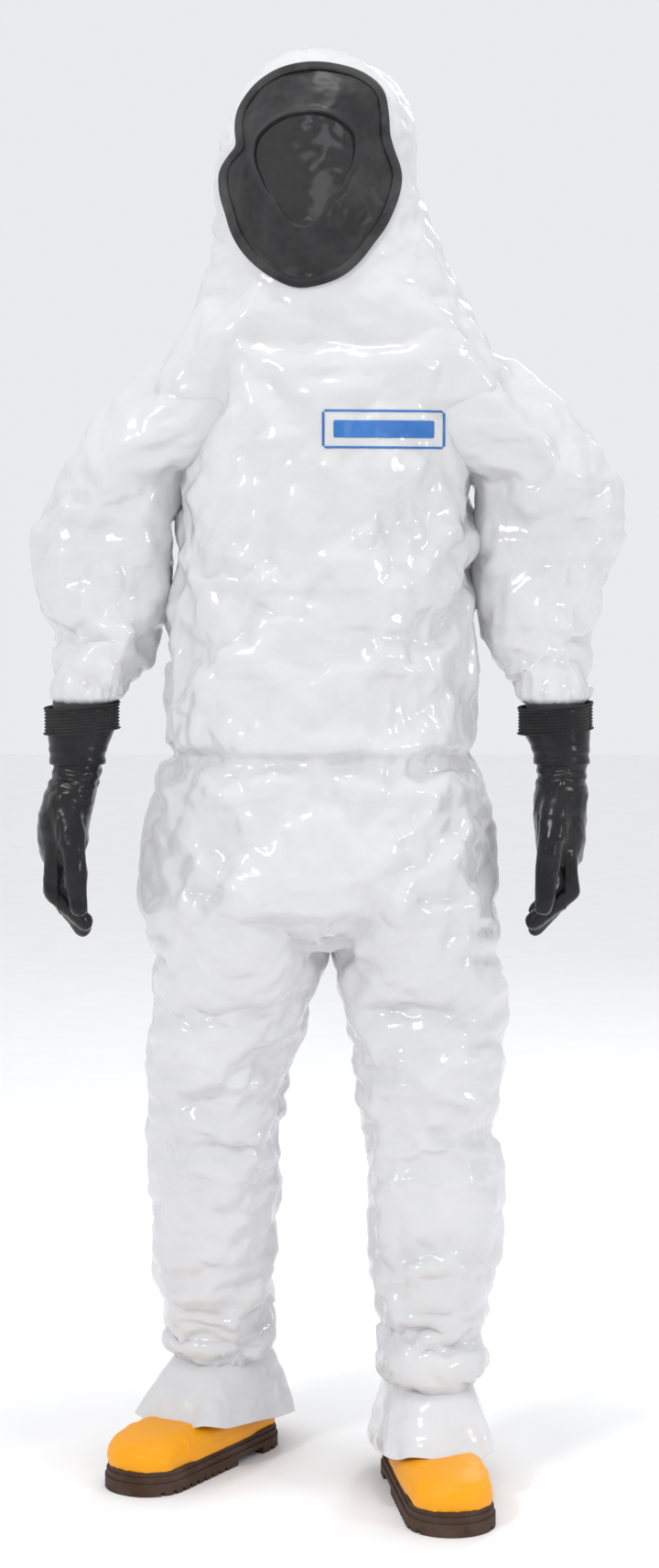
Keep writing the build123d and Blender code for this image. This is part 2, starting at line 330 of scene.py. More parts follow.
def paint(name, colour, roughness, grain=0.0):
    """A plain matt paint with a fine grain."""
    material, tree, principled = shader(name)
    value = noise_value(tree, 9.0, 3)
    shade = tuple(c * 0.97 for c in colour)
    tinted = ramp(tree, value, 0.3, 0.7, (*shade, 1), (*colour, 1))
    tree.links.new(tinted, principled.inputs["Base Color"])
    principled.inputs["Roughness"].default_value = roughness
    if grain:
        add_bump(tree, principled, noise_value(tree, 900, 2), grain, 0.0005)
    return material


def film_material(name, colour):
    """Glossy coated film: fine creases, faint clouding and uneven gloss."""
    material, tree, principled = shader(name)
    cloud = noise_value(tree, 6.0, 4)
    shade = tuple(c * 0.93 for c in colour)
    clouded = ramp(tree, cloud, 0.35, 0.65, (*shade, 1), (*colour, 1))
    tree.links.new(clouded, principled.inputs["Base Color"])
    gloss = noise_value(tree, 22.0, 5)
    uneven = ramp(tree, gloss, 0.3, 0.7, (0.09,) * 3 + (1,), (0.20,) * 3 + (1,))
    tree.links.new(uneven, principled.inputs["Roughness"])
    principled.inputs["Specular IOR Level"].default_value = 0.55
    principled.inputs["Coat Weight"].default_value = 0.25
    principled.inputs["Coat Roughness"].default_value = 0.12
    wrinkle = noise_value(tree, 13.0, 5, (1, 1, 1.4), "RIDGED_MULTIFRACTAL", 0.5)
    add_bump(tree, principled, wrinkle, 0.70, 0.008)
    crackle = noise_value(tree, 38.0, 3, (1, 1, 1.2), "RIDGED_MULTIFRACTAL", 0.5)
    add_bump(tree, principled, crackle, 0.50, 0.004)
    weave = noise_value(tree, 420.0, 2)
    add_bump(tree, principled, weave, 0.06, 0.0006)
    return material


def rubber_material(name, colour, roughness, dust, crinkle):
    """Rubber with dusty smudges, uneven gloss and soft creases."""
    material, tree, principled = shader(name)
    smudge = noise_value(tree, 11.0, 6, (1, 1, 1), "FBM", 0.65)
    pale = tuple(min(1.0, c + dust) for c in colour)
    smudged = ramp(tree, smudge, 0.45, 0.75, (*colour, 1), (*pale, 1))
    tree.links.new(smudged, principled.inputs["Base Color"])
    low = (roughness,) * 3 + (1,)
    high = (min(1.0, roughness + 0.22),) * 3 + (1,)
    tree.links.new(ramp(tree, smudge, 0.35, 0.7, low, high), principled.inputs["Roughness"])
    principled.inputs["Specular IOR Level"].default_value = 0.30
    folds = noise_value(tree, 16.0, 4, (1, 1, 0.7), "RIDGED_MULTIFRACTAL", 0.5)
    add_bump(tree, principled, folds, crinkle, 0.003)
    add_bump(tree, principled, noise_value(tree, 700.0, 2), 0.08, 0.0004)
    return material


def ribbed_material(name, colour, pitch):
    """Woven or ribbed tape: fine ribs with a little fluff, and painted shade that darkens the grooves
    between the ribs.
    """
    material, tree, principled = shader(name)
    ribs = node(tree, "ShaderNodeTexWave", Scale=1.0 / pitch, Distortion=0.4, Detail=1.0)
    ribs.bands_direction = "Z"
    tree.links.new(place_in(tree), ribs.inputs["Vector"])
    # Painted shade: the colour falls to 0.55 in the grooves between the ribs, where the ribs' bump is low.
    dark = tuple(c * 0.55 for c in colour)
    ribs_with_painted_shade = ramp(tree, ribs.outputs["Fac"], 0.2, 0.8, (*dark, 1), (*colour, 1))
    tree.links.new(ribs_with_painted_shade, principled.inputs["Base Color"])
    principled.inputs["Roughness"].default_value = 0.72
    add_bump(tree, principled, ribs.outputs["Fac"], 0.5, 0.0008)
    add_bump(tree, principled, noise_value(tree, 1200.0, 2), 0.2, 0.0004)
    return material


def metal_material(name, colour, roughness):
    """Brushed metal."""
    material, tree, principled = shader(name)
    brushed = noise_value(tree, 60.0, 4, (1, 14, 1))
    dark = tuple(c * 0.8 for c in colour)
    streaked = ramp(tree, brushed, 0.3, 0.7, (*dark, 1), (*colour, 1))
    tree.links.new(streaked, principled.inputs["Base Color"])
    principled.inputs["Metallic"].default_value = 1.0
    principled.inputs["Roughness"].default_value = roughness
    return material


def dress(piece, material):
    """Gives a piece its material, in a single material slot."""
    piece.data.materials.clear()
    piece.data.materials.append(material)


make_camera()
make_studio()
FILM = film_material("suit_film", (0.69, 0.69, 0.70))

# ---- the film skin
ROW_X = 0.00043               # from the body's middle to the frame's origin
ROW_Y = 0.02814
HOOD_CUT = 1.470              # jacket below, hood above
LEG_TOP = 0.930
KNEE_CUT = 0.610              # thigh above, knee below
SHIN_CUT = 0.300              # knee above, shin below
ANKLE_END = 0.114             # the hem hangs from here
ELBOW_CUT = 1.250             # upper sleeve above, elbow below
SLEEVE_END = 1.003            # inside the glove's band
MIDDLE_X = -0.0126            # the legs part here
CROTCH = 0.705
ZIP_X = -0.0116
ZIP_PLANE = 0.1597            # underside of the zip's tapes
ZIP_SPAN = (0.935, 1.425)
BODY_NODES = ["hood_neck", "jacket_shell", "trouser_seat"]
ARM_NODES = ["shoulder", "upper_sleeve", "elbow", "lower_sleeve"]
LEG_NODES = ["hip", "upper_leg", "knee", "lower_leg", "ankle"]
TORSO_EDGE = {"right": 0.199, "left": 0.178}
SLEEVE_EDGE = {"right": 0.211, "left": 0.192}


# The hood's rings: x, y, z and two radii, from the neck to the crown.
HOOD_RINGS = [
    (0, 0.006, 1.470, 0.180, 0.112),
    (0.002, 0.007, 1.510, 0.174, 0.116),
    (0.004, 0.008, 1.545, 0.163, 0.118),
    (0.001, 0.009, 1.570, 0.150, 0.119),
    (-0.006, 0.010, 1.610, 0.138, 0.120),
    (-0.018, 0.012, 1.680, 0.131, 0.118),
    (-0.014, 0.014, 1.740, 0.128, 0.116),
    (-0.009, 0.016, 1.790, 0.112, 0.104),
    (-0.016, 0.018, 1.830, 0.076, 0.076),
    (-0.022, 0.020, 1.853, 0.042, 0.044),
    (-0.024, 0.020, 1.861, 0.012, 0.013),
]


def body_clouds():
    """Clouds of the hood, the jacket, the seat and both legs."""
    clouds = []
    rings = [level(ROW_X + x, ROW_Y + y, z, rx, ry) for x, y, z, rx, ry in HOOD_RINGS]
    clouds += pairs(rings)
    for name in BODY_NODES:
        cloud = points_of(NODES[name])
        if name == "jacket_shell":
            low = cloud[:, 2] < 1.29
            cloud[low, 0] = np.clip(cloud[low, 0], -TORSO_EDGE["right"], TORSO_EDGE["left"])
            cloud[cloud[:, 2] < 0.99, 0] *= 1.02
        clouds.append(cloud)
    seat = clouds[-1]
    low = seat[(seat[:, 2] < 0.80) & (np.abs(seat[:, 0] - MIDDLE_X) < 0.16)]
    clouds.append(np.concatenate([low, level(MIDDLE_X, 0.033, CROTCH, 0.035, 0.055)]))
    neck = points_of(NODES["hood_neck"])
    waist = seat[seat[:, 2] > 0.84]
    for side in SIDES:
        sign = -1 if side == "right" else 1
        hip = points_of(NODES[f"hip_{side}"])
        flank = waist[(waist[:, 0] - MIDDLE_X) * sign > 0]
        clouds.append(np.concatenate([flank, hip[hip[:, 2] > 0.75]]))
        root = points_of(NODES[f"shoulder_{side}"])
        near = root[(np.abs(root[:, 0]) < 0.215) & (root[:, 2] > 1.40)]
        collar = neck[(neck[:, 0] * sign > 0.10) & (neck[:, 2] < 1.53)]
        clouds.append(np.concatenate([near, collar]))
        clouds += [points_of(NODES[f"{name}_{side}"]) for name in LEG_NODES]
    return clouds


def arm_clouds(side):
    """Clouds of one sleeve, whose root runs on inside the chest."""
    sign = -1 if side == "right" else 1
    clouds = []
    for name in ARM_NODES:
        cloud = points_of(NODES[f"{name}_{side}"])
        room = np.where(cloud[:, 2] < 1.296, SLEEVE_EDGE[side], 0.0)
        cloud[:, 0] = sign * np.maximum(np.abs(cloud[:, 0]), room)
        clouds.append(cloud)
    root = clouds[0]
    near = root[np.abs(root[:, 0]) < 0.20]
    ring = level(0, 0, 0, 0.066, 0.070)
    inner = np.stack([np.full(len(ring), sign * 0.105), 0.033 + ring[:, 1], 1.385 + ring[:, 0]], 1)
    clouds.append(np.concatenate([near, inner]))
    return clouds


def volume(name, clouds, voxel, soften):
    """One closed smooth form through several clouds."""
    made = new_mesh(name, *hulls(clouds))
    modified(made, "REMESH", mode="VOXEL", voxel_size=voxel, adaptivity=0.0)
    return modified(made, "SMOOTH", factor=0.5, iterations=soften)


def joined(name, parts):
    """Several meshes as one."""
    verts = []
    faces = []
    for part in parts:
        start = len(verts)
        verts += [tuple(v.co) for v in part.data.vertices]
        faces += [[start + i for i in f.vertices] for f in part.data.polygons]
        bpy.data.objects.remove(part)
    return new_mesh(name, verts, faces)


# Outlines on the face seal: x and z of points seen from the front.
FACE = (-0.030, 1.690)
RIM = [
    (-0.029, 1.825), (0.012, 1.822), (0.039, 1.815), (0.060, 1.801), (0.068, 1.788),
    (0.070, 1.768), (0.071, 1.734), (0.078, 1.713), (0.088, 1.687), (0.078, 1.644),
    (0.052, 1.599), (0.016, 1.558), (-0.020, 1.545), (-0.042, 1.543), (-0.077, 1.561),
    (-0.116, 1.604), (-0.128, 1.640), (-0.137, 1.694), (-0.112, 1.721), (-0.115, 1.768),
    (-0.092, 1.802), (-0.065, 1.818),
]
MOUTH = [
    (-0.034, 1.760), (0.010, 1.752), (0.031, 1.734), (0.033, 1.709), (0.021, 1.680),
    (-0.003, 1.648), (-0.016, 1.622), (-0.034, 1.613), (-0.051, 1.622), (-0.066, 1.647),
    (-0.087, 1.680), (-0.096, 1.709), (-0.092, 1.730), (-0.070, 1.750),
]
SPOKES = 192
SPOKE_ANGLES = np.linspace(-np.pi, np.pi, SPOKES, endpoint=False)


def outline(points):
    """The reach of an outline from the face's middle, for each spoke."""
    away = np.array(points) - FACE
    angle = np.arctan2(away[:, 1], away[:, 0])
    order = np.argsort(angle)
    reach = np.interp(SPOKE_ANGLES, angle[order], np.hypot(*away.T)[order], period=2 * np.pi)
    for _ in range(6):
        reach = (np.roll(reach, 1) + 2 * reach + np.roll(reach, -1)) / 4
    return reach


RIM_REACH = outline(RIM)
MOUTH_REACH = outline(MOUTH)


def outside(points, reach):
    """How far each point lies outside an outline of the face, seen from the front."""
    away = points[:, (0, 2)] - FACE
    edge = np.interp(np.arctan2(away[:, 1], away[:, 0]), SPOKE_ANGLES, reach, period=2 * np.pi)
    return np.hypot(away[:, 0], away[:, 1]) - edge


def held(points, arm):
    """How firmly each point of the skin stays where it is, 0 free to 1 fixed."""
    x, y, z = points.T
    face = (1 - rise(outside(points, RIM_REACH), 0.004, 0.030)) * (y < 0.01) * (z > 1.5)
    dome = 0.5 * rise(z, 1.60, 1.70)
    cuff = arm * (1 - rise(z, 1.006, 1.030))
    root = arm * (1 - rise(np.abs(x), 0.150, 0.185))
    ankle = (1 - rise(z, 0.116, 0.150)) * (1 - arm)
    zip_line = (1 - rise(np.abs(x - ZIP_X), 0.030, 0.060)) * (y > 0.10) * (1 - arm)
    zip_line = zip_line * rise(z, 0.90, 0.93) * (1 - rise(z, 1.43, 1.47))
    return np.max([face, dome, cuff, root, ankle, zip_line], 0)


def slack(points):
    """Where the film has most to spare: elbows, waist, knees and ankles."""
    z = points[:, 2]
    arm = bump(z, 1.17, 0.09) * (np.abs(points[:, 0]) > 0.19)
    return np.clip(arm + bump(z, 0.90, 0.05) + bump(z, 0.50, 0.14) + bump(z, 0.19, 0.06), 0, 1)


def group(piece, name, weights):
    """A vertex group with a weight for every point."""
    made = piece.vertex_groups.new(name=name)
    for step in range(21):
        chosen = np.flatnonzero(np.round(weights * 20) == step)
        if len(chosen):
            made.add([int(i) for i in chosen], step / 20, "REPLACE")


CLOTH_FRAMES = 24
FOLD_LIMIT = 0.022


def crumple(piece, firm):
    """Simulates the film as cloth with more area than the form under it."""
    rest = points_of(piece)
    group(piece, "held", np.clip(0.10 + firm, 0, 1))
    group(piece, "slack", slack(rest))
    modifier = piece.modifiers.new("cloth", "CLOTH")
    cloth = modifier.settings
    cloth.quality = 5
    cloth.mass = 0.15
    cloth.tension_stiffness = 12
    cloth.compression_stiffness = 12
    cloth.shear_stiffness = 4
    cloth.bending_stiffness = 0.08
    cloth.tension_damping = 6
    cloth.compression_damping = 6
    cloth.bending_damping = 1
    cloth.air_damping = 3
    cloth.vertex_group_mass = "held"
    cloth.pin_stiffness = 0.6
    cloth.vertex_group_shrink = "slack"
    cloth.shrink_min = -0.10
    cloth.shrink_max = -0.20
    cloth.use_pressure = True
    cloth.uniform_pressure_force = 0.6
    cloth.effector_weights.gravity = 0.05
    modifier.collision_settings.use_collision = False
    cache = modifier.point_cache
    cache.frame_start = 1
    cache.frame_end = CLOTH_FRAMES
    for number in range(1, CLOTH_FRAMES + 1):
        scene.frame_set(number)
    graph = bpy.context.evaluated_depsgraph_get()
    moved = points_of(piece.evaluated_get(graph))
    piece.modifiers.clear()
    scene.frame_set(1)
    shift = moved - rest
    far = np.linalg.norm(shift, axis=1, keepdims=True)
    put_points(piece, rest + shift * np.minimum(1, FOLD_LIMIT / np.maximum(far, 1e-9)))


# Long folds: from x, z to x, z, then half width, height and face; front is -1, back 1, both 0.
FOLDS = [
    (-0.147, 1.323, -0.036, 1.359, 0.010, 0.006, -1), (-0.110, 1.300, -0.020, 1.335, 0.009, -0.005, -1),
    (0.131, 1.341, 0.018, 1.203, 0.012, 0.007, -1), (0.150, 1.310, 0.060, 1.215, 0.010, -0.005, -1),
    (-0.180, 1.230, -0.060, 1.160, 0.012, 0.006, -1), (0.170, 1.240, 0.090, 1.150, 0.012, 0.006, -1),
    (-0.060, 1.200, -0.110, 1.110, 0.010, 0.006, -1), (0.020, 1.190, -0.060, 1.100, 0.009, -0.005, -1),
    (-0.170, 0.930, -0.060, 0.800, 0.014, 0.006, -1), (0.170, 0.930, 0.060, 0.800, 0.014, 0.006, -1),
    (-0.200, 0.840, -0.080, 0.740, 0.012, 0.007, -1), (0.190, 0.850, 0.070, 0.745, 0.012, 0.006, -1),
    (-0.215, 0.560, -0.070, 0.500, 0.012, 0.009, -1), (-0.060, 0.580, -0.200, 0.470, 0.010, -0.007, -1),
    (-0.230, 0.470, -0.075, 0.440, 0.011, 0.008, -1), (0.220, 0.560, 0.060, 0.510, 0.012, 0.009, -1),
    (0.055, 0.570, 0.215, 0.475, 0.011, 0.008, -1), (0.050, 0.480, 0.225, 0.440, 0.010, -0.007, -1),
    (-0.230, 0.395, -0.060, 0.400, 0.006, 0.005, 0), (0.050, 0.392, 0.230, 0.398, 0.006, 0.005, 0),
    (0.084, 0.197, 0.179, 0.090, 0.010, 0.009, -1), (0.190, 0.330, 0.090, 0.270, 0.010, 0.006, -1),
    (-0.225, 0.300, -0.090, 0.330, 0.011, 0.006, -1), (-0.100, 0.250, -0.210, 0.200, 0.010, 0.006, -1),
    (-0.120, 1.300, 0.060, 1.180, 0.014, 0.006, 1), (0.120, 1.320, -0.040, 1.150, 0.014, 0.006, 1),
    (-0.170, 0.800, -0.060, 0.730, 0.012, 0.008, 1), (0.170, 0.810, 0.060, 0.735, 0.012, 0.008, 1),
    (-0.220, 0.520, -0.080, 0.545, 0.012, 0.009, 1), (0.215, 0.500, 0.070, 0.540, 0.012, 0.009, 1),
]


def long_folds(points):
    """The height of the long folds at each point."""
    x, y, z = points.T
    total = np.zeros(len(points))
    for x0, z0, x1, z1, width, height, face in FOLDS:
        along = np.array([x1 - x0, z1 - z0])
        length = np.hypot(*along)
        along = along / length
        run = (x - x0) * along[0] + (z - z0) * along[1]
        away = (x - x0) * along[1] - (z - z0) * along[0]
        away = away + 0.006 * np.sin(run * 60 + x0 * 90)
        fade = rise(run, -0.01, 0.03) * (1 - rise(run, length - 0.03, length + 0.01))
        seen = 1.0 if face == 0 else rise(face * (y - 0.03), -0.01, 0.03)
        total += height * np.exp(-np.abs(away / width) ** 1.5) * fade * seen
    return total


def finish_film(piece, firm):
    """Crisp small folds, gathers and seams on the simulated film."""
    points = points_of(piece)
    normal = normals_of(piece)
    x, y, z = points.T
    free = 1 - firm
    arm = (np.abs(x) > 0.205) & (z > 0.95)
    stretched = points * (1.0, 1.0, 1.35)
    height = 0.021 * facets(points, 0.135, 6, 3) + 0.0095 * facets(points, 0.055, 6, 17)
    height += 0.010 * crease(stretched, 0.110, 23) + 0.0035 * crease(points, 0.026, 29)
    busy = 0.50 + 0.50 * rise(wave(points / 0.16, 5), -0.25, 0.30)
    joint = np.clip(bump(z, 0.51, 0.13) + bump(z, 0.19, 0.07) + arm * bump(z, 1.15, 0.12), 0, 1)
    height *= busy * (0.80 + 0.45 * joint)
    ripple = points * (1.0, 1.0, 2.6)
    height += joint * 0.013 * crease(ripple, 0.110, 41, 0.5) + 0.004
    height += long_folds(points)
    waist = bump(z, 0.938, 0.011) * (~arm)
    gather = bump(z, 0.925, 0.035) * (~arm)
    turn = np.arctan2(y - 0.03, x)
    height -= 0.010 * waist
    height += gather * 0.006 * wave(np.stack([turn * 9, z * 9, y * 4], 1), 61)
    cuff = arm * bump(z, 1.018, 0.022)
    round_arm = np.arctan2(y, np.abs(x) - 0.30)
    height += cuff * 0.003 * np.sin(round_arm * 17 + 2 * wave(points / 0.03, 71))
    ankle = bump(z, 0.128, 0.022)
    height += (~arm) * (0.009 * bump(z, 0.155, 0.018) - 0.006 * bump(z, 0.118, 0.007))
    round_leg = np.arctan2(y - 0.05, np.abs(x) - 0.13)
    height += ankle * 0.004 * np.sin(round_leg * 19 + 2 * wave(points / 0.03, 81))
    height = np.clip(height, -0.022, 0.016) * np.clip(free + 0.25 * (cuff + ankle), 0, 1)
    put_points(piece, points + normal * height[:, None])


def press_for_zip(piece):
    """Keeps the film behind the zip's tapes and under its flap."""
    points = points_of(piece)
    x, y, z = points.T
    zone = (1 - rise(np.abs(x - ZIP_X), 0.046, 0.075)) * (y > 0.08) * (np.abs(x) < 0.18)
    low, high = ZIP_SPAN
    zone = zone * rise(z, low - 0.02, low) * (1 - rise(z, high, high + 0.03))
    limit = ZIP_PLANE - 0.0008
    points[:, 1] = np.where(zone > 0, y + zone * (np.minimum(y, limit) - y), y)
    put_points(piece, points)


def keep_normals(piece):
    """Stores the normals of the whole skin on its points."""
    store = piece.data.attributes.new("whole_normal", "FLOAT_VECTOR", "POINT")
    store.data.foreach_set("vector", normals_of(piece).astype(np.float32).ravel())


def cut_out(source, name, chosen):
    """A piece of the skin with the faces chosen, which keeps the whole skin's normals."""
    piece = source.copy()
    piece.data = source.data.copy()
    piece.name = name
    scene.collection.objects.link(piece)
    delete_faces(piece, ~chosen)
    store = piece.data.attributes["whole_normal"]
    flat = np.empty(len(piece.data.vertices) * 3, np.float32)
    store.data.foreach_get("vector", flat)
    shade_smooth(piece)
    piece.data.normals_split_custom_set_from_vertices(flat.reshape(-1, 3))
    piece.data.attributes.remove(piece.data.attributes["whole_normal"])
    dress(piece, FILM)
    return piece


# Where each trouser leg's piece is cut from the skin, and a point past it that sets the cut's direction and
# scale.
LEG_BLEND = {
    "right": ((-0.013, 0.03, 0.684), (-0.0526, 0.03, 0.6312)),
    "left": ((-0.013, 0.03, 0.684), (0.0266, 0.03, 0.6312)),
}


def leg_share(points, side):
    """How far a point is past the line where the trouser leg's piece starts, 0 at the line and 1 at the end
    point.
    """
    start, end = LEG_BLEND[side]
    line = np.array(end) - np.array(start)
    return (points - np.array(start)) @ line / (line @ line)


def arm_flags(skin):
    """1 at the skin's points that belong to the sleeves, 0 elsewhere."""
    flat = np.empty(len(skin.data.vertices), np.float32)
    skin.data.attributes["arm"].data.foreach_get("value", flat)
    return flat.astype(float)


def make_skin():
    """The whole film: body, two sleeves and two trouser legs, creased as cloth."""
    body = volume("body", body_clouds(), 0.010, 14)
    count = len(body.data.vertices)
    arms = [volume(f"arm_{side}", arm_clouds(side), 0.010, 6) for side in SIDES]
    skin = joined("skin", [body] + arms)
    shade_smooth(skin)
    arm = (np.arange(len(skin.data.vertices)) >= count).astype(float)
    firm = held(points_of(skin), arm)
    crumple(skin, firm)
    mark = skin.data.attributes.new("arm", "FLOAT", "POINT")
    mark.data.foreach_set("value", arm.astype(np.float32))
    skin.vertex_groups.clear()
    subdivide(skin)
    shade_smooth(skin)
    finish_film(skin, held(points_of(skin), arm_flags(skin)))
    press_for_zip(skin)
    return skin


def cut_leg(skin, side, leg, z):
    """Thigh, knee and shin of one trouser leg."""
    thigh = cut_out(skin, f"thigh_film_{side}", leg & (z >= KNEE_CUT))
    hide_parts(f"hip_{side}")
    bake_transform(thigh)
    knee = cut_out(skin, f"knee_film_{side}", leg & (z < KNEE_CUT) & (z >= SHIN_CUT))
    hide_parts(f"upper_leg_{side}", f"knee_{side}")
    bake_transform(knee)
    shin = cut_out(skin, f"shin_film_{side}", leg & (z < SHIN_CUT) & (z > ANKLE_END))
    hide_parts(f"lower_leg_{side}", f"ankle_{side}")
    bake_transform(shin)


def cut_sleeve(skin, side, sleeve, z):
    """Upper and lower part of one sleeve."""
    upper = cut_out(skin, f"sleeve_film_{side}", sleeve & (z >= ELBOW_CUT))
    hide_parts(f"shoulder_{side}", f"upper_sleeve_{side}")
    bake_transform(upper)
    lower = cut_out(skin, f"elbow_film_{side}", sleeve & (z < ELBOW_CUT) & (z > SLEEVE_END))
    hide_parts(f"elbow_{side}", f"lower_sleeve_{side}")
    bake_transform(lower)


def split_skin(skin):
    """Cuts the skin at its joints into hood, leg, sleeve and torso pieces, and attaches the torso to its
    body.
    """
    keep_normals(skin)
    centre = face_centres(skin)
    x, y, z = centre.T
    first = np.array([f.vertices[0] for f in skin.data.polygons])
    arm = arm_flags(skin)[first] > 0.5
    arm_side = {"right": x < 0, "left": x > 0}
    leg_side = {"right": x < MIDDLE_X, "left": x >= MIDDLE_X}
    hole = (outside(centre, RIM_REACH) < -0.010) & (y < 0.0) & (z > 1.53)
    hood = cut_out(skin, "hood_film", ~arm & (z >= HOOD_CUT) & ~hole)
    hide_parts("hood_shell", "hood_neck")
    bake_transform(hood)
    trunk = ~arm & (z < HOOD_CUT)
    for side in SIDES:
        leg = ~arm & leg_side[side] & (leg_share(centre, side) > 0) & (z < LEG_TOP)
        trunk &= ~leg
        cut_leg(skin, side, leg, z)
        cut_sleeve(skin, side, arm & arm_side[side], z)
    torso = cut_out(skin, "torso_film", trunk)
    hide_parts("jacket_shell", "trouser_seat", "waist_elastic")
    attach(torso, "torso")


skin = make_skin()
CORNERS = [v.co for v in skin.data.vertices]
SURFACE = BVHTree.FromPolygons(CORNERS, [list(f.vertices) for f in skin.data.polygons])
split_skin(skin)
bpy.data.objects.remove(skin)


def front_of(x, z):
    """Where the film's front is, seen at x and z."""
    hit = SURFACE.ray_cast(Vector((x, -1.0, z)), Vector((0, 1, 0)))
    return hit[0].y if hit[0] else -0.05


# ---- face seal
def ring_mesh(name, rings):
    """A mesh through equal rings of points, each ring joined to the next."""
    rows = len(rings)
    count = len(rings[0])
    verts = np.concatenate(rings)
    faces = []
    for row in range(rows - 1):
        a, b = row * count, (row + 1) * count
        for i in range(count):
            j = (i + 1) % count
            faces.append((a + i, a + j, b + j, b + i))
    made = new_mesh(name, verts, faces)
    shade_smooth(made)
    return made


def face_ring(reach, lift):
    """A ring of points over the film's front at a reach from the face's middle."""
    x = FACE[0] + reach * np.cos(SPOKE_ANGLES)
    z = FACE[1] + reach * np.sin(SPOKE_ANGLES)
    y = np.array([front_of(a, b) for a, b in zip(x, z)])
    for _ in range(8):
        y = (np.roll(y, 1) + 2 * y + np.roll(y, -1)) / 4
    return np.stack([x, y - lift, z], 1)


def make_seal():
    """Rubber seal over the hood's face hole, with a lip round its mouth that turns inwards."""
    rings = []
    for step in range(27):
        part = step / 26
        reach = MOUTH_REACH + (RIM_REACH - 0.002 - MOUTH_REACH) * part
        ring = face_ring(reach, 0.0035)
        dome = 0.008 * (1 - part) ** 2 + 0.0030 * math.exp(-((part - 0.035) / 0.035) ** 2)
        ring[:, 1] -= dome
        rings.append(ring)
    lip = []
    for depth, spread in ((0.030, -0.03), (0.022, -0.01), (0.012, 0.0), (0.004, 0.003)):
        ring = rings[0].copy()
        ring[:, 0] += (ring[:, 0] - FACE[0]) * spread
        ring[:, 1] += depth
        lip.append(ring)
    seal = ring_mesh("face_seal_rubber", lip + rings)
    points = points_of(seal)
    x, y, z = points.T
    centre_crease = np.exp(-np.abs((x + 0.036 + 0.006 * np.sin(z * 60)) / 0.004))
    centre_crease = centre_crease * (z < 1.612) * (z > 1.552)
    height = 0.0045 * crease(points, 0.040, 91) + 0.0018 * crease(points, 0.016, 95)
    height = height - 0.004 * centre_crease
    inner = rise(outside(points, MOUTH_REACH), 0.0, 0.012)
    mask = inner * rise(-outside(points, RIM_REACH), 0.0, 0.010)
    points[:, 1] = y - height * mask
    put_points(seal, points)
    subdivide(seal)
    modified(seal, "SOLIDIFY", thickness=0.0016, offset=0.0)
    shade_smooth(seal)
    dress(seal, rubber_material("seal_rubber", (0.017, 0.017, 0.018), 0.33, 0.035, 0.35))
    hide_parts("face_seal")
    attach(seal, "head")


def make_binding():
    """Ribbed tape bound over the seal's edge, with its joint at the top."""
    section = [(-0.0055, 0.0030), (-0.0060, 0.0058), (-0.0035, 0.0072), (0.0, 0.0077), (0.0035, 0.0070),
               (0.0058, 0.0050), (0.0062, 0.0015), (0.0050, -0.0010)]
    rings = [face_ring(RIM_REACH + across, lift) for across, lift in section]
    spokes = np.arange(SPOKES)
    for ring in rings[1:6]:
        ring[:, 1] -= 0.0005 * (spokes % 2)
        ring[:, 1] -= 0.0012 * (np.abs(spokes - SPOKES * 0.755) < 3)
    binding = ring_mesh("seal_binding_tape", rings)
    subdivide(binding)
    modified(binding, "SOLIDIFY", thickness=0.0012, offset=0.0)
    shade_smooth(binding)
    dress(binding, rubber_material("binding_tape", (0.016, 0.016, 0.017), 0.55, 0.07, 0.7))
    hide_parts("seal_binding")
    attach(binding, "head")


make_seal()
make_binding()

# ---- gloves
GAUNTLET_TOP = 0.9985
GAUNTLET_BASE = 0.928
BAND_BASE = 0.969
BAND_HEIGHT = 0.033
RIB_PITCH = 0.0041
HANDS = {
    "right": {
        "sign": -1, "curl": 0.314,
        "sleeve": (0.321, -0.020), "wrist": (0.326, -0.030), "hand": (0.344, -0.038),
    },
    "left": {
        "sign": 1, "curl": 0.262,
        "sleeve": (0.293, -0.020), "wrist": (0.300, -0.030), "hand": (0.298, -0.036),
    },
}
GLOVE = rubber_material("glove_rubber", (0.007, 0.007, 0.008), 0.13, 0.012, 0.18)
BAND = rubber_material("band_rubber", (0.014, 0.014, 0.015), 0.62, 0.03, 0.4)


def ball(place, radius, count=14):
    """Points of a ball."""
    made = []
    for row in range(1, count // 2):
        polar = math.pi * row / (count // 2)
        wide = radius * math.sin(polar)
        made.append(level(place[0], place[1], place[2] + radius * math.cos(polar), wide, wide, count))
    ends = np.array([place, place], float)
    ends[0, 2] += radius
    ends[1, 2] -= radius
    return np.concatenate(made + [ends])


def bones(points, radii):
    """Clouds of the bones of one finger."""
    balls = [ball(p, r) for p, r in zip(points, radii)]
    return pairs(balls)


